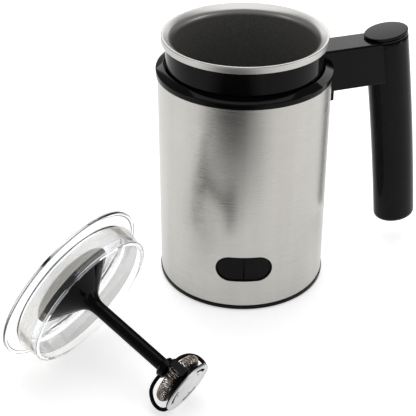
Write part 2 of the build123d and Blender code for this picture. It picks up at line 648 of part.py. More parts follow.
WHISK_MAGNETS = ((0, -8.5), (0, 8.5))
with BuildPart() as magnet_housing:
    ring(HUB_END, HOUSING_T, 6.0, base=LID)
    ring(HOUSING_T, DISC_TOP, HOUSING_R, base=LID)
    ring(DISC_TOP - 0.9, DISC_TOP, 16.3, base=LID)
    for az, _ in HOOPS:
        arc_bar(DISC_TOP - 0.9, DISC_TOP, 15.5, 17.3, az, 7, base=LID)
    ring(HUB_END, HOUSING_T + 0.2, 3.2, base=LID, mode=Mode.SUBTRACT)
    ring(91, DISC_TOP, 2.8, spots=WHISK_MAGNETS, base=LID, mode=Mode.SUBTRACT)
    add(whisk_hoops.part, mode=Mode.SUBTRACT)
save(magnet_housing, "magnet_housing")

with BuildPart() as whisk_magnets:
    ring(91, DISC_TOP, 2.8, spots=WHISK_MAGNETS, base=LID)
save(whisk_magnets, "whisk_magnets")

with BuildPart() as whisk_disc:
    ring(DISC_TOP, DISC_TOP + DISC_T, DISC_R, base=LID)
    for az in SLOT_AZ:
        arc_bar(DISC_TOP, DISC_TOP + DISC_T, 12.0, 13.8, az, 25, base=LID, mode=Mode.SUBTRACT)
    ring(DISC_TOP, DISC_TOP + DISC_T, 0.7, spots=[polar(9.6, az) for az in SLOT_AZ], base=LID,
         mode=Mode.SUBTRACT)
save(whisk_disc, "whisk_disc")
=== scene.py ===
import json
from math import atan2, cos, pi, radians, sin

import bpy
import bmesh
from mathutils import Matrix, Vector

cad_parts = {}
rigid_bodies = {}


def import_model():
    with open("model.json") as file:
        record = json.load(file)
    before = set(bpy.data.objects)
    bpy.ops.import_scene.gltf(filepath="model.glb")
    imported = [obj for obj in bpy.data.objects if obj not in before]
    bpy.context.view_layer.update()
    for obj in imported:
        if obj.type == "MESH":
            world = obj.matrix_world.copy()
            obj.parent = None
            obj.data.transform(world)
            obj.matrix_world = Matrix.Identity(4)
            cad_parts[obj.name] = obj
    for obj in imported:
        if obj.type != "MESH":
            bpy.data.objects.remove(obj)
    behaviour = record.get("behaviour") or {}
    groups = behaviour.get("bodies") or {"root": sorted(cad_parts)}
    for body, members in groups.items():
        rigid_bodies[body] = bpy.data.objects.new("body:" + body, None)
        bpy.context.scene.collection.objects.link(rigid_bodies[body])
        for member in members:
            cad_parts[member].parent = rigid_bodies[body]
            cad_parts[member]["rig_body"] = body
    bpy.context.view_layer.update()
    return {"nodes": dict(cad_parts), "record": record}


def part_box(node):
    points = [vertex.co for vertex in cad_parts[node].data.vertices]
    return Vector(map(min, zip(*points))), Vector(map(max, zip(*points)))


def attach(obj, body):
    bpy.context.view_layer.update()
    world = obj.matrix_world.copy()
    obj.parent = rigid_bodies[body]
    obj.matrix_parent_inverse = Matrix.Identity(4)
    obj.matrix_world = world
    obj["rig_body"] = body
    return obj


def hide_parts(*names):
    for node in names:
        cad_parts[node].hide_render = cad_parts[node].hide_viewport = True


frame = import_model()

# Milk frother: brushed steel jug with a black handle, and its clear lid with the magnetic whisk beside it.
# Outlines are in millimetres (MM turns them into metres); everything else is in metres.

MM = 0.001
NODES = frame["nodes"]
RECORD = frame["record"]
UP = Vector((0, 0, 1))


# ------------------------------------------------------------------ sizes, in millimetres and degrees

SHARP = 38                  # faces that meet at more than this stay crisp
CAD_SHARP = 30              # the same for the CAD's own nodes
LATHE_FINE = 256            # facets round the large turned pieces
CORNER_SHARE = 0.48         # the most of an edge's length that one rounded corner takes
WELD = 1e-7                 # points closer than this become one (metres)

# Cup: its inside, the foot of its funnel and the lower edge of its rim.
MOUTH_R, CUP_WALL = 44.2, 0.8
FUNNEL_LOW, LIP_LOW = 163.6, 162.8

# Dark coat inside the cup: it fades out over the last COAT_FADE below COAT_TOP, with an uneven edge, and
# covers the surfaces no further than COAT_REACH outside the cup's inner radius.
COAT_TOP, COAT_FADE = 163.2, 2.0
COAT_WAVE, COAT_REACH = 0.4, 0.6

# Black neck, and the ring over the shell's top edge. The ring is open where the handle comes in.
COLLAR_IN_R, COLLAR_R, COLLAR_FOOT_R, FOOT_TOP = 46.6, 48.4, 52.5, 141.4
SHOULDER_IN_R, SHOULDER_STEP_R, SHOULDER_R = 49.4, 52.6, 54.6
SHELL_TOP, SHOULDER_EDGE, SHOULDER_TOP = 142.02, 145.5, 148.05
HANDLE_AZ, HANDLE_HALF_GAP = 19.0, 53.0

# Grip: half axes of its oval, length, top centre, and lean at its top and its low end.
GRIP_A, GRIP_B, GRIP_LEN = 14.2, 12.2, 140.0
GRIP_TOP_R, GRIP_TOP_Z = 95.0, 155.9
LEAN_TOP, LEAN_LOW = radians(9.3), radians(5.7)
GRIP_BODY, GRIP_EDGE, GRIP_ROUND, CAP_GROOVE = 4.05, 0.4, 4.0, 1.2

# Lid, as radii and distances t along the stem from the flange's top.
SPIN_T = 80.0
RAISED_R, RAISED, FLANGE_R, LID_SHEET = 50.3, 0.6, 52.4, 2.2
SKIRT_R, SKIRT_IN_R, SKIRT_END, BEAD_R = 43.2, 41.4, 18.4, 43.8
SEAL_IN_R, SEAL_T, SEAL_END = 43.22, 4.5, 13.6
TRUMPET_R, TRUMPET_T, STEM_R, STEM_END, BORE_R, BORE_T = 28.0, 2.22, 4.1, 74.6, 1.2, 62

# Bows of round bar, as azimuth and (radius, t) points; each lies in a plane through the stem.
HOOP_R = 1.15
HOOPS = {
    "a": (-32, (
        (3, 78.6), (9, 78.5), (13, 79.6), (16, 81.8), (17.9, 85.2), (18.1, 88.8), (17.5, 91.3), (16.9, 92.7),
    )),
    "b": (180, (
        (3, 77.6), (9, 77.4), (14, 78.5), (17.1, 81), (19.3, 84.8), (19.7, 88.8), (18.5, 91.5), (16.9, 92.7),
    )),
}

# The real coil: thin wire wound round a ring.
COIL_T, COIL_R = 86.5, 12.9
WIRE_R, WIND_R, WINDINGS, PER_WINDING = 0.36, 2.73, 44, 24

# Punched disc: the slots lie within SLOTS_R, and a wall's normal has less than WALL_TURN along the stem;
# these slot walls get painted shade.
SLOTS_R, WALL_TURN = 15, 0.6

# ------------------------------------------------------------------ stage, in metres

FLOOR_HALF = 6.0
AIM = Vector((0, 0, 0.06))
CARD_PLACE, CARD_R, CARD_DARK_R = Vector((-0.10, -0.42, 0.001)), 0.30, 0.14
# Camera: its tilt is in degrees, its lens and sensor in millimetres.
CAMERA_PLACE = (-0.02238, -0.63516, 0.42990)
CAMERA_TILT, CAMERA_LENS, CAMERA_SENSOR = 58.7, 97.69, 36

# ------------------------------------------------------------------ finish

NOISE_LOW, NOISE_HIGH = 0.3, 0.7            # most of a noise texture's values lie between these
PLASTIC_GAIN, PLASTIC_LIFT = 1.35, 0.002    # how much lighter the light patches of plastic are
LINE_RUN, LINE_SCALE, LINE_DEPTH = 9.0, 4.0, 0.0025
# Lean and height scale of the shell's tall bands, which are partly brushing-wheel marks and partly painted
# reflection.
BAND_LEAN, BAND_RUN = 0.4, 1.2
COAT_DULLER = 0.22
# Painted shade: the colour given to the disc's slot walls in place of the shadow inside the slots.
SLOT_PAINTED_SHADE = (0.004, 0.004, 0.004)


# ------------------------------------------------------------------ mesh helpers

def corner_rounded(points, steps=5):
    """Closed outline of (r, z) or (r, z, radius) points, with the given corners rounded."""
    out = []
    count = len(points)
    for i, point in enumerate(points):
        here = Vector(point[:2])
        radius = point[2] if len(point) > 2 else 0
        if radius <= 0:
            out.append(here)
            continue
        back = Vector(points[i - 1][:2]) - here
        ahead = Vector(points[(i + 1) % count][:2]) - here
        reach = min(radius, CORNER_SHARE * back.length, CORNER_SHARE * ahead.length)
        start, end = here + back.normalized() * reach, here + ahead.normalized() * reach
        for k in range(steps + 1):
            t = k / steps
            out.append(start * (1 - t) ** 2 + here * 2 * t * (1 - t) + end * t ** 2)
    return out


def new_object(name, bm, matrix=None):
    bmesh.ops.remove_doubles(bm, verts=bm.verts, dist=WELD)
    bmesh.ops.recalc_face_normals(bm, faces=bm.faces)
    mesh = bpy.data.meshes.new(name)
    if matrix is not None:
        bm.transform(matrix)
    bm.to_mesh(mesh)
    bm.free()
    obj = bpy.data.objects.new(name, mesh)
    bpy.context.scene.collection.objects.link(obj)
    soften(obj)
    return obj


def soften(obj, angle=SHARP):
    """Smooth shading with crisp corners."""
    obj.data.shade_smooth()
    obj.data.set_sharp_from_angle(angle=radians(angle))


def grid_faces(bm, rows, closed_rows, closed_columns):
    """Quads between neighbouring rows of vertices; a row with one vertex is a pole."""
    row_count = len(rows)
    for i in range(row_count if closed_rows else row_count - 1):
        a, b = rows[i], rows[(i + 1) % row_count]
        columns = max(len(a), len(b))
        if columns == 1:
            continue
        for j in range(columns if closed_columns else columns - 1):
            k = (j + 1) % columns
            corners = [a[j % len(a)], a[k % len(a)], b[k % len(b)], b[j % len(b)]]
            unique = list(dict.fromkeys(corners))
            if len(unique) > 2:
                bm.faces.new(unique)


def lathe(name, outline, matrix=None, steps=192, start=0.0, arc=360.0):
    """Closed outline turned about the local z axis, over all or part of a turn."""
    bm = bmesh.new()
    full = arc >= 360
    columns = steps if full else steps + 1
    rows = []
    for r, z in corner_rounded(outline):
        if r < 1e-6:
            rows.append([bm.verts.new((0, 0, z * MM))])
            continue
        row = []
        for j in range(columns):
            a = radians(start + arc * j / steps)
            row.append(bm.verts.new((r * cos(a) * MM, r * sin(a) * MM, z * MM)))
        rows.append(row)
    grid_faces(bm, rows, True, full)
    if not full:
        bm.faces.new([row[0] for row in rows])
        bm.faces.new([row[-1] for row in rows])
    return new_object(name, bm, matrix)


def tube(name, path, normals, radius, sides, closed, matrix=None):
    """Round bar along a path, with the given normal at each point."""
    bm = bmesh.new()
    rows = []
    count = len(path)
    for i, point in enumerate(path):
        if closed:
            along = path[(i + 1) % count] - path[i - 1]
        else:
            along = path[min(i + 1, count - 1)] - path[max(i - 1, 0)]
        along.normalize()
        side = along.cross(normals[i]).normalized()
        out = side.cross(along)
        row = []
        for j in range(sides):
            a = 2 * pi * j / sides
            row.append(bm.verts.new((point + (out * cos(a) + side * sin(a)) * radius) * MM))
        rows.append(row)
    grid_faces(bm, rows, closed, True)
    if not closed:
        bm.faces.new(rows[0])
        bm.faces.new(rows[-1])
    return new_object(name, bm, matrix)



# ------------------------------------------------------------------ material helpers

class Look:
    """Node material about one Principled shader, built up step by step."""

    def __init__(self, name, **sockets):
        self.material = bpy.data.materials.new(name)
        self.material.use_nodes = True
        self.tree = self.material.node_tree
        self.tree.nodes.clear()
        self.shader = self.add("ShaderNodeBsdfPrincipled")
        self.output = self.add("ShaderNodeOutputMaterial")
        self.link(self.shader.outputs[0], self.output.inputs["Surface"])
        for socket, value in sockets.items():
            self.shader.inputs[socket.replace("_", " ")].default_value = value
        self.place = self.add("ShaderNodeTexCoord").outputs["Object"]
        self.height = None

    def add(self, kind, **settings):
        node = self.tree.nodes.new(kind)
        for name, value in settings.items():
            setattr(node, name, value)
        return node

    def link(self, a, b):
        self.tree.links.new(a, b)

    def math(self, operation, a, b=None):
        node = self.add("ShaderNodeMath", operation=operation)
        for socket, value in zip(node.inputs, (a, b)):
            if value is None:
                continue
            if isinstance(value, (int, float)):
                socket.default_value = value
            else:
                self.link(value, socket)
        return node.outputs[0]

    def stretched(self, scale, source=None):
        node = self.add("ShaderNodeMapping")
        self.link(source or self.place, node.inputs["Vector"])
        node.inputs["Scale"].default_value = scale
        return node.outputs[0]

    def noise(self, scale, detail=4, source=None, rough=0.55):
        node = self.add("ShaderNodeTexNoise")
        self.link(source or self.place, node.inputs["Vector"])
        node.inputs["Scale"].default_value = scale
        node.inputs["Detail"].default_value = detail
        node.inputs["Roughness"].default_value = rough
        return node.outputs["Fac"]

    def band(self, source, low, high, to_low, to_high):
        node = self.add("ShaderNodeMapRange")
        self.link(source, node.inputs["Value"])
        for name, value in zip(("From Min", "From Max", "To Min", "To Max"), (low, high, to_low, to_high)):
            node.inputs[name].default_value = value
        return node.outputs[0]

    def ramp(self, source, stops):
        node = self.add("ShaderNodeValToRGB")
        ramp = node.color_ramp
        while len(ramp.elements) < len(stops):
            ramp.elements.new(0.5)
        for element, (at, colour) in zip(ramp.elements, stops):
            element.position = at
            element.color = (*colour, 1)
        self.link(source, node.inputs[0])
        return node.outputs[0]

    def mix(self, factor, a, b):
        node = self.add("ShaderNodeMix", data_type="RGBA")
        self.link(factor, node.inputs[0])
        for socket, value in ((node.inputs[6], a), (node.inputs[7], b)):
            if isinstance(value, tuple):
                socket.default_value = (*value, 1)
            else:
                self.link(value, socket)
        return node.outputs[2]

    def colour(self, source):
        self.link(source, self.shader.inputs["Base Color"])

    def roughness(self, source):
        self.link(source, self.shader.inputs["Roughness"])

    def mottled(self, noise, a, b):
        """Tone that wanders between two colours with a noise."""
        return self.ramp(noise, ((NOISE_LOW, a), (NOISE_HIGH, b)))

    def worn(self, noise, least, most):
        """Roughness that wanders between two values with a noise."""
        self.roughness(self.band(noise, NOISE_LOW, NOISE_HIGH, least, most))

    def bump(self, source, depth_mm, strength=1.0):
        node = self.add("ShaderNodeBump")
        node.inputs["Distance"].default_value = depth_mm * MM
        node.inputs["Strength"].default_value = strength
        self.link(source, node.inputs["Height"])
        if self.height is not None:
            self.link(self.height, node.inputs["Normal"])
        self.height = node.outputs[0]
        self.link(self.height, self.shader.inputs["Normal"])


    def grain(self, size_mm, detail, depth_mm, strength):
        """Fine bump with grains of about the given size."""
        self.bump(self.noise(1 / MM / size_mm, detail), depth_mm, strength)


# ------------------------------------------------------------------ materials

def plastic(name, colour, rough, grain_mm=0.35, depth_mm=0.004, spread=0.06, specular=0.5):
    """Moulded plastic: slight mottling, a fine grain, and duller patches from handling."""
    look = Look(name, Specular_IOR_Level=specular)
    cloud = look.noise(28, 5)
    lighter = tuple(c * PLASTIC_GAIN + PLASTIC_LIFT for c in colour)
    look.colour(look.ramp(cloud, ((0.32, colour), (0.72, lighter))))
    look.worn(look.noise(55, 6, rough=0.65), rough - spread, rough + spread)
    look.grain(grain_mm, 3, depth_mm, 0.6)
    return look


def rubber(name, colour):
    return plastic(name, colour, 0.72, grain_mm=0.2, depth_mm=0.01, spread=0.08, specular=0.3)


def metal(name, colour, rough, grain_mm=0.6, depth_mm=0.003, spread=0.08, dark=0.8):
    """Plain worked metal with cloudy tone and fine scratches."""
    look = Look(name, Metallic=1.0)
    darker = tuple(c * dark for c in colour)
    look.tone = look.mottled(look.noise(60, 6), darker, colour)
    look.colour(look.tone)
    look.worn(look.noise(140, 6), rough - spread, rough + spread)
    look.grain(grain_mm, 4, depth_mm, 0.5)
    return look


def turned_steel(name, warm, cool, rough, line_mm=0.16, anisotropic=0.75):
    """Steel brushed round the local z axis: fine lines that run along the circumference."""
    look = Look(name, Metallic=1.0, Anisotropic=anisotropic)
    look.split = look.add("ShaderNodeSeparateXYZ")
    look.link(look.place, look.split.inputs[0])
    x, y, z = look.split.outputs
    flat = look.add("ShaderNodeCombineXYZ")
    look.link(x, flat.inputs[0])
    look.link(y, flat.inputs[1])
    radius = look.add("ShaderNodeVectorMath", operation="LENGTH")
    look.link(flat.outputs[0], radius.inputs[0])
    across = look.math("ADD", z, radius.outputs["Value"])
    lines = look.add("ShaderNodeCombineXYZ")
    look.link(look.math("MULTIPLY", x, LINE_RUN), lines.inputs[0])
    look.link(look.math("MULTIPLY", y, LINE_RUN), lines.inputs[1])
    look.link(look.math("MULTIPLY", across, 1 / MM / line_mm / LINE_SCALE), lines.inputs[2])
    fine = look.noise(LINE_SCALE, 5, source=lines.outputs[0], rough=0.7)
    cloud = look.noise(16, 3)
    tone = look.math("ADD", look.math("MULTIPLY", fine, 0.7), look.math("MULTIPLY", cloud, 0.3))
    look.steel = look.ramp(tone, ((0.34, warm), (0.66, cool)))
    look.colour(look.steel)
    look.rough_lines = look.band(fine, 0.25, 0.75, rough - 0.05, rough + 0.07)
    look.roughness(look.rough_lines)
    look.bump(fine, LINE_DEPTH, 0.5)
    tangent = look.add("ShaderNodeTangent", direction_type="RADIAL", axis="Z")
    look.link(tangent.outputs[0], look.shader.inputs["Tangent"])
    return look


def shell_steel():
    """Shell: brushed round the jug, with faint tall light and dark bands in its colour, partly marks of the
    brushing wheel and partly painted reflection of the studio's bright and dark surroundings.
    """
    look = turned_steel("shell steel", (0.44, 0.43, 0.41), (0.53, 0.52, 0.50), 0.25)
    x, y, z = look.split.outputs
    around = look.math("ARCTAN2", x, y)
    lean = look.math("MULTIPLY", z, BAND_LEAN)
    bands = look.add("ShaderNodeCombineXYZ")
    look.link(look.math("ADD", around, lean), bands.inputs[0])
    look.link(look.math("MULTIPLY", z, BAND_RUN), bands.inputs[2])
    # Partly painted reflection, partly brushing marks: tall light and dark bands round the jug, multiplied
    # into the steel colour.
    wheel_marks_and_painted_reflection = look.noise(2.6, 3, source=bands.outputs[0], rough=0.6)
    tint = look.mottled(wheel_marks_and_painted_reflection, (0.90, 0.89, 0.88), (1.0, 0.995, 0.98))
    both = look.add("ShaderNodeMix", data_type="RGBA", blend_type="MULTIPLY")
    both.inputs[0].default_value = 1.0
    look.link(look.steel, both.inputs[6])
    look.link(tint, both.inputs[7])
    look.colour(both.outputs[2])
    return look


def cup_steel():
    """Satin steel rim and funnel; below the funnel the inside has a dark non-stick coat."""
    look = turned_steel("cup steel", (0.40, 0.39, 0.375), (0.52, 0.51, 0.49), 0.30, line_mm=0.12,
                        anisotropic=0.6)
    wave = look.math("MULTIPLY", look.noise(90, 3), COAT_WAVE * MM)
    level = look.math("ADD", look.split.outputs[2], wave)
    coated = look.band(level, (COAT_TOP - COAT_FADE) * MM, COAT_TOP * MM, 1.0, 0.0)
    radius = look.add("ShaderNodeVectorMath", operation="LENGTH")
    look.link(look.stretched((1, 1, 0)), radius.inputs[0])
    inside = look.math("LESS_THAN", radius.outputs["Value"], (MOUTH_R + COAT_REACH) * MM)
    mask = look.math("MULTIPLY", coated, inside)
    speckle = look.ramp(look.noise(900, 2), ((0.35, (0.105, 0.102, 0.099)), (0.75, (0.16, 0.156, 0.15))))
    look.colour(look.mix(mask, look.steel, speckle))
    look.link(look.math("SUBTRACT", 1.0, mask), look.shader.inputs["Metallic"])
    look.roughness(look.math("ADD", look.rough_lines, look.math("MULTIPLY", mask, COAT_DULLER)))
    return look


def clear_plastic():
    look = Look("clear lid plastic", Transmission_Weight=1.0, IOR=1.46, Specular_IOR_Level=0.5)
    look.colour(look.mottled(look.noise(24, 3), (0.955, 0.965, 0.975), (0.985, 0.99, 0.995)))
    scuffs = look.noise(160, 7, rough=0.7)
    look.roughness(look.band(scuffs, 0.5, 0.85, 0.01, 0.06))
    look.bump(look.noise(45, 2), 0.02, 0.15)
    return look


def milky_silicone():
    look = Look("milky silicone", IOR=1.40, Alpha=0.34, Specular_IOR_Level=0.4)
    look.colour(look.mottled(look.noise(30, 4), (0.93, 0.89, 0.82), (0.97, 0.95, 0.90)))
    look.worn(look.noise(70, 5), 0.22, 0.32)
    look.bump(look.noise(2600, 2), 0.004, 0.5)
    return look


def board_green():
    """Green circuit board with a pattern of lighter tracks."""
    green = (0.02, 0.12, 0.05)
    look = plastic("circuit board", green, 0.38, grain_mm=1.2, depth_mm=0.01)
    tracks = look.add("ShaderNodeTexBrick")
    look.link(look.place, tracks.inputs["Vector"])
    tracks.inputs["Scale"].default_value = 260
    tracks.inputs["Mortar Size"].default_value = 0.06
    for socket, value in (("Color1", green), ("Color2", (0.025, 0.16, 0.07)), ("Mortar", (0.05, 0.25, 0.10))):
        tracks.inputs[socket].default_value = (*value, 1)
    look.colour(tracks.outputs["Color"])
    return look


LOOKS = {
    "brushed_steel": shell_steel(),
    "cup_steel": cup_steel(),
    "black_gloss": plastic("black gloss plastic", (0.0012, 0.0012, 0.0013), 0.08, depth_mm=0.0012,
                           spread=0.03, specular=0.09),
    "black_satin": plastic("black satin plastic", (0.0015, 0.0015, 0.0016), 0.16, depth_mm=0.002,
                           spread=0.04, specular=0.10),
    "seal_silicone": milky_silicone(),
    "lid_clear": clear_plastic(),
    "disc_steel": metal("whisk disc steel", (0.58, 0.58, 0.58), 0.36, grain_mm=0.35, depth_mm=0.006),
    "whisk_wire": metal("whisk wire", (0.44, 0.38, 0.33), 0.24, grain_mm=0.3, depth_mm=0.004, dark=0.6),
    "fastener_steel": metal("zinc plated steel", (0.52, 0.52, 0.52), 0.35),
    "motor_steel": metal("nickel plated steel", (0.62, 0.61, 0.58), 0.28),
    "magnet_dark": rubber("sintered magnet", (0.06, 0.06, 0.062)),
    "heater_aluminium": metal("heater aluminium", (0.78, 0.78, 0.79), 0.42, grain_mm=0.9, depth_mm=0.01),
    "contact_brass": metal("contact brass", (0.75, 0.56, 0.26), 0.25),
    "circuit_board": board_green(),
    "inner_plastic": plastic("inner plastic", (0.05, 0.05, 0.055), 0.5, grain_mm=0.5, depth_mm=0.01),
    "foot_rubber": rubber("foot rubber", (0.015, 0.015, 0.016)),
}
NODE_SLOT = {row["node"]: row["material_slot"] for row in RECORD["subparts"]}


def stands_for(obj, node):
    """A finer piece that takes the place of a CAD node, on its body and with its material slot."""
    slot = NODE_SLOT[node]
    obj.data.materials.append(LOOKS[slot].material)
    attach(obj, NODES[node]["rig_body"])
    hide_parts(node)


for node_name, node_object in NODES.items():
    slots = node_object.data.materials
    node_material = LOOKS[NODE_SLOT[node_name]].material
    for index in range(len(slots)):
        slots[index] = node_material
    if not slots:
        slots.append(node_material)
    soften(node_object, CAD_SHARP)


# ------------------------------------------------------------------ jug

cup_low, cup_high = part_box("cup")
RIM_R, RIM_TOP = cup_high.x / MM, cup_high.z / MM
CUP_OUT_R = MOUTH_R + CUP_WALL
CUP_BOTTOM = cup_low.z / MM
CUP_FLOOR = CUP_BOTTOM + CUP_WALL
stands_for(lathe("cup_body", [
    (0, CUP_FLOOR), (MOUTH_R, CUP_FLOOR, 9), (MOUTH_R, FUNNEL_LOW, 3.5), (RIM_R - 1.1, RIM_TOP - 0.1, 0.9),
    (RIM_R, RIM_TOP - 0.2, 0.7), (RIM_R, LIP_LOW, 0.3), (RIM_R - CUP_WALL, LIP_LOW, 0.3),
    (RIM_R - CUP_WALL, RIM_TOP - 1.2, 0.6), (CUP_OUT_R, FUNNEL_LOW - 0.5, 0.6), (CUP_OUT_R, CUP_BOTTOM, 9.5),
    (0, CUP_BOTTOM),
], steps=LATHE_FINE), "cup")

collar_low, collar_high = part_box("collar")
COLLAR_LOW, COLLAR_TOP = collar_low.z / MM, collar_high.z / MM
stands_for(lathe("collar_tube", [
    (COLLAR_IN_R, COLLAR_LOW), (COLLAR_FOOT_R, COLLAR_LOW, 0.4), (COLLAR_FOOT_R, FOOT_TOP, 0.2),
    (COLLAR_R, FOOT_TOP, 0.3), (COLLAR_R, COLLAR_TOP, 0.5), (COLLAR_IN_R, COLLAR_TOP, 0.3),
], steps=LATHE_FINE), "collar")

stands_for(lathe("shoulder_band", [
    (SHOULDER_IN_R, FOOT_TOP), (SHOULDER_STEP_R, FOOT_TOP), (SHOULDER_STEP_R, SHELL_TOP),
    (SHOULDER_R, SHELL_TOP, 0.25), (SHOULDER_R, SHOULDER_EDGE, 0.5),
    (SHOULDER_IN_R + 0.4, SHOULDER_TOP, 0.45), (SHOULDER_IN_R, SHOULDER_TOP - 0.65, 0.3),
], steps=200, start=HANDLE_AZ + HANDLE_HALF_GAP, arc=360 - 2 * HANDLE_HALF_GAP), "shoulder_ring")


# ------------------------------------------------------------------ handle

OUT = Vector((cos(radians(HANDLE_AZ)), sin(radians(HANDLE_AZ)), 0))
ACROSS = UP.cross(OUT)


def grip_frame(s):
    """Centre, outward direction and downward direction of the grip's section s below its top."""
    bend = GRIP_LEN / (LEAN_TOP - LEAN_LOW)
    a = LEAN_TOP + (LEAN_LOW - LEAN_TOP) * s / GRIP_LEN
    r = GRIP_TOP_R + bend * (cos(a) - cos(LEAN_TOP))
    z = GRIP_TOP_Z - bend * (sin(LEAN_TOP) - sin(a))
    return OUT * r + UP * z, OUT * cos(a) + UP * sin(a), OUT * sin(a) - UP * cos(a)


def oval_stack(name, levels, straight=False, columns=128):
    """Closed oval form through (s, inset) levels; the ends are filled."""
    bm = bmesh.new()
    rows = []
    for s, inset in levels:
        centre, x_dir, down = grip_frame(0 if straight else s)
        if straight:
            centre = centre + down * s
        row = []
        for j in range(columns):
            a = 2 * pi * j / columns
            point = centre + x_dir * (GRIP_A - inset) * cos(a) + ACROSS * (GRIP_B - inset) * sin(a)
            row.append(bm.verts.new(point * MM))
        rows.append(row)
    grid_faces(bm, rows, False, True)
    bm.faces.new(rows[0])
    bm.faces.new(rows[-1])
    return new_object(name, bm)


def grip_levels(wall_steps=60, round_steps=12):
    """Small rounded edge under the cap, the long wall, and the round lower end."""
    wall_start = GRIP_BODY + GRIP_EDGE
    wall = GRIP_LEN - GRIP_ROUND - GRIP_BODY - GRIP_EDGE
    levels = [(GRIP_BODY, 0.45), (GRIP_BODY + 0.12, 0.18), (wall_start, 0)]
    levels += [(wall_start + wall * i / wall_steps, 0) for i in range(1, wall_steps + 1)]
    for i in range(1, round_steps + 1):
        a = pi / 2 * i / round_steps
        levels.append((GRIP_LEN - GRIP_ROUND + GRIP_ROUND * sin(a), GRIP_ROUND * (1 - cos(a))))
    return levels


stands_for(oval_stack("grip_body", grip_levels()), "grip_shell")

# Rounded top plate, a groove, the plate below it, and the groove above the grip's body.
stands_for(oval_stack("grip_top", [
    (0, 0.9), (0.03, 0.6), (0.15, 0.25), (0.4, 0.03), (1.2, 0), (1.42, 0.1), (1.5, 0.35), (1.5, CAP_GROOVE),
    (2.0, CAP_GROOVE), (2.0, 0.35), (2.08, 0.15), (2.3, 0.1), (3.3, 0.1), (3.45, 0.2), (3.5, 0.4),
    (3.5, CAP_GROOVE), (3.98, CAP_GROOVE),
], straight=True), "grip_cap")


# ------------------------------------------------------------------ lid and whisk

def lid_matrix(centre, stem_axis):
    """Frame whose z axis runs along the stem, with its origin in the middle of the flange's top."""
    turn = atan2(stem_axis.y, stem_axis.x)
    level = Vector((-sin(turn), cos(turn), 0))
    side = (level + stem_axis.cross(level)).normalized()
    matrix = Matrix((side, stem_axis.cross(side), stem_axis)).transposed().to_4x4()
    matrix.translation = centre
    return matrix


spin = next(joint for joint in RECORD["behaviour"]["joints"] if joint["name"] == "whisk_spin")
STEM = Vector(spin["axis"])
FLANGE_CENTRE = Vector(spin["pos_m"]) - STEM * SPIN_T * MM
LID = lid_matrix(FLANGE_CENTRE, STEM)

stands_for(lathe("lid_clear_cover", [
    (0, 0), (RAISED_R - 0.3, 0, 0.3), (RAISED_R, -RAISED, 0.3), (FLANGE_R, -RAISED, 0.9),
    (FLANGE_R, LID_SHEET, 0.8), (SKIRT_R, LID_SHEET, 0.6), (SKIRT_R, SKIRT_END - 1.3, 0.3),
    (BEAD_R, SKIRT_END - 0.9, 0.3), (BEAD_R, SKIRT_END, 0.4), (SKIRT_IN_R, SKIRT_END, 0.4),
    (SKIRT_IN_R, LID_SHEET, 0.8), (0, LID_SHEET),
], LID, steps=LATHE_FINE), "lid_cover")

# Three lips on a thin band, the largest next to the flange.
stands_for(lathe("lid_lip_seal", [
    (SEAL_IN_R, SEAL_T), (44.1, SEAL_T, 0.3), (45.7, 5.4, 0.4), (45.7, 6.3, 0.4), (44.0, 7.4, 0.5),
    (44.0, 8.6, 0.5), (45.0, 9.4, 0.4), (45.0, 10.3, 0.4), (43.9, 11.3, 0.4), (43.9, 12.2, 0.3),
    (44.4, 12.6, 0.3), (44.4, 13.2, 0.3), (43.7, SEAL_END, 0.2), (SEAL_IN_R, SEAL_END),
], LID, steps=LATHE_FINE), "lid_seal")

stands_for(lathe("stem_trumpet", [
    (TRUMPET_R, TRUMPET_T, 0.2), (STEM_R, 18.6, 5.5), (STEM_R, STEM_END, 0.5), (BORE_R, STEM_END, 0.2),
    (BORE_R, BORE_T), (0, BORE_T), (0, 16.4), (3.8, 16.0, 2), (TRUMPET_R - 2.0, TRUMPET_T, 0.2),
], LID, steps=160), "whisk_stem")


def smooth_line(points, per_span=10):
    """Catmull-Rom curve through points."""
    pts = [Vector(p) for p in points]
    pts = [2 * pts[0] - pts[1]] + pts + [2 * pts[-1] - pts[-2]]
    out = []
    for i in range(1, len(pts) - 2):
        a, b, c, d = pts[i - 1:i + 3]
        for k in range(per_span):
            t = k / per_span
            out.append(0.5 * ((2 * b) + (c - a) * t + (2 * a - 5 * b + 4 * c - d) * t ** 2
                              + (3 * b - a - 3 * c + d) * t ** 3))
    return out + [pts[-2]]


for label, (azimuth, points) in HOOPS.items():
    outwards = Vector((cos(radians(azimuth)), sin(radians(azimuth)), 0))
    line = [outwards * r + UP * t for r, t in smooth_line(points)]
    bow = tube(f"whisk_bow_{label}", line, [UP.cross(outwards)] * len(line), HOOP_R, 20, False, LID)
    stands_for(bow, "whisk_hoops")


def coil_path():
    """Centre line of the coil's wire, with the direction away from the ring's middle line at each point."""
    path, normals = [], []
    count = WINDINGS * PER_WINDING
    for i in range(count):
        around = 2 * pi * i / count
        wind = 2 * pi * i / PER_WINDING
        outwards = Vector((cos(around), sin(around), 0))
        normal = outwards * cos(wind) + UP * sin(wind)
        path.append(outwards * COIL_R + UP * COIL_T + normal * WIND_R)
        normals.append(normal)
    return path, normals


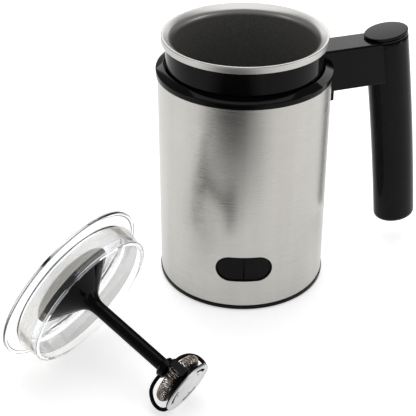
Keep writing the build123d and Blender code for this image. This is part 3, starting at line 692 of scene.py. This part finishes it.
def paint_slot_shade(disc):
    """The disc is punched: the walls of its slots get painted shade, black and not metallic, standing in for
    the shadow inside the slots; its faces and its rim stay bright.
    """
    facing = disc.add("ShaderNodeVectorMath", operation="DOT_PRODUCT")
    disc.link(disc.add("ShaderNodeNewGeometry").outputs["Normal"], facing.inputs[0])
    facing.inputs[1].default_value = STEM
    from_centre = disc.add("ShaderNodeVectorMath", operation="SUBTRACT")
    disc.link(disc.place, from_centre.inputs[0])
    from_centre.inputs[1].default_value = FLANGE_CENTRE
    off_stem = disc.add("ShaderNodeVectorMath", operation="CROSS_PRODUCT")
    disc.link(from_centre.outputs[0], off_stem.inputs[0])
    off_stem.inputs[1].default_value = STEM
    reach = disc.add("ShaderNodeVectorMath", operation="LENGTH")
    disc.link(off_stem.outputs[0], reach.inputs[0])
    is_wall = disc.math("LESS_THAN", disc.math("ABSOLUTE", facing.outputs["Value"]), WALL_TURN)
    is_slot = disc.math("LESS_THAN", reach.outputs["Value"], SLOTS_R * MM)
    wall = disc.math("MULTIPLY", is_wall, is_slot)
    # Painted shade: slot walls near the stem are coloured black and made non-metallic.
    disc.colour(disc.mix(wall, disc.tone, SLOT_PAINTED_SHADE))
    disc.link(disc.math("SUBTRACT", 1.0, wall), disc.shader.inputs["Metallic"])


# Painted shade in the walls of the disc's slots.
paint_slot_shade(LOOKS["disc_steel"])
stands_for(tube("whisk_coil", *coil_path(), WIRE_R, 8, True, LID), "whisk_spring")


# ------------------------------------------------------------------ floor

bm = bmesh.new()
bmesh.ops.create_grid(bm, x_segments=2, y_segments=2, size=FLOOR_HALF)
floor = new_object("floor", bm)
floor_look = Look("pale floor", Roughness=0.7, Specular_IOR_Level=0.1, Emission_Strength=0.55)
floor_look.shader.inputs["Emission Color"].default_value = (1, 1, 1, 1)
floor_look.colour(floor_look.mottled(floor_look.noise(1.5, 2), (0.90, 0.90, 0.90), (0.92, 0.92, 0.92)))
floor.data.materials.append(floor_look.material)


# ------------------------------------------------------------------ surroundings and light

def background(tree, colour, strength):
    node = tree.nodes.new("ShaderNodeBackground")
    node.inputs["Color"].default_value = (*colour, 1)
    node.inputs["Strength"].default_value = strength
    return node.outputs[0]


def studio():
    """White behind everything that the camera sees, and a dimmer room for reflections and diffuse light."""
    world = bpy.data.worlds.new("studio")
    bpy.context.scene.world = world
    world.use_nodes = True
    tree = world.node_tree
    tree.nodes.clear()
    room = background(tree, (0.95, 0.97, 1.0), 0.30)
    backdrop = background(tree, (1, 1, 1), 1.0)
    seen = tree.nodes.new("ShaderNodeLightPath")
    choose = tree.nodes.new("ShaderNodeMixShader")
    tree.links.new(seen.outputs["Is Camera Ray"], choose.inputs[0])
    tree.links.new(room, choose.inputs[1])
    tree.links.new(backdrop, choose.inputs[2])
    tree.links.new(choose.outputs[0], tree.nodes.new("ShaderNodeOutputWorld").inputs["Surface"])


def area_light(name, place, width, height, power, colour):
    """Rectangular lamp that points at the jug and is hidden from the camera."""
    data = bpy.data.lights.new(name, "AREA")
    data.shape = "RECTANGLE"
    data.size, data.size_y = width, height
    data.energy = power
    data.color = colour
    lamp = bpy.data.objects.new(name, data)
    bpy.context.scene.collection.objects.link(lamp)
    lamp.location = place
    lamp.visible_camera = False
    lamp.rotation_euler = (AIM - Vector(place)).to_track_quat("-Z", "Y").to_euler()


studio()
area_light("softbox_left", (-0.62, -0.27, 0.20), 0.16, 0.55, 0.5, (1.0, 0.93, 0.86))
area_light("softbox_right", (0.66, -0.15, 0.20), 0.16, 0.55, 0.7, (1.0, 0.95, 0.89))
area_light("softbox_back", (0, 1.3, 0.92), 1.6, 0.9, 9, (1.0, 1.0, 1.0))
area_light("overhead", (0, 0.15, 1.1), 1.0, 1.0, 5, (1.0, 1.0, 1.0))


# ------------------------------------------------------------------ reflection card

# Round card in front of the jug, dark in the middle and as bright as the floor at its edge. It shows only in
# reflections, as the tall soft dark band on the steel.
bm = bmesh.new()
card_matrix = Matrix.Translation(CARD_PLACE)
bmesh.ops.create_circle(bm, cap_ends=True, segments=96, radius=CARD_R, matrix=card_matrix)
card = new_object("dark_card", bm)
card_look = Look("dark card", Roughness=0.9, Specular_IOR_Level=0.0, Emission_Strength=1.2)
card_look.colour(card_look.mottled(card_look.noise(8, 2), (0.01, 0.01, 0.01), (0.015, 0.015, 0.015)))
offset = card_look.add("ShaderNodeVectorMath", operation="DISTANCE")
card_look.link(card_look.place, offset.inputs[0])
offset.inputs[1].default_value = CARD_PLACE
fade = card_look.band(offset.outputs["Value"], CARD_DARK_R, CARD_R, 0.0, 1.0)
glow = card_look.ramp(fade, ((0.0, (0.03, 0.03, 0.03)), (1.0, (1.0, 1.0, 1.0))))
card_look.link(glow, card_look.shader.inputs["Emission Color"])
card.data.materials.append(card_look.material)
card.visible_camera = card.visible_diffuse = card.visible_shadow = card.visible_transmission = False


# ------------------------------------------------------------------ camera

camera_data = bpy.data.cameras.new("camera")
camera_data.sensor_width = CAMERA_SENSOR
camera_data.lens = CAMERA_LENS
camera = bpy.data.objects.new("camera", camera_data)
bpy.context.scene.collection.objects.link(camera)
camera.location = CAMERA_PLACE
camera.rotation_euler = (radians(CAMERA_TILT), 0, 0)
bpy.context.scene.camera = camera
bpy.context.scene.view_settings.view_transform = "Standard"
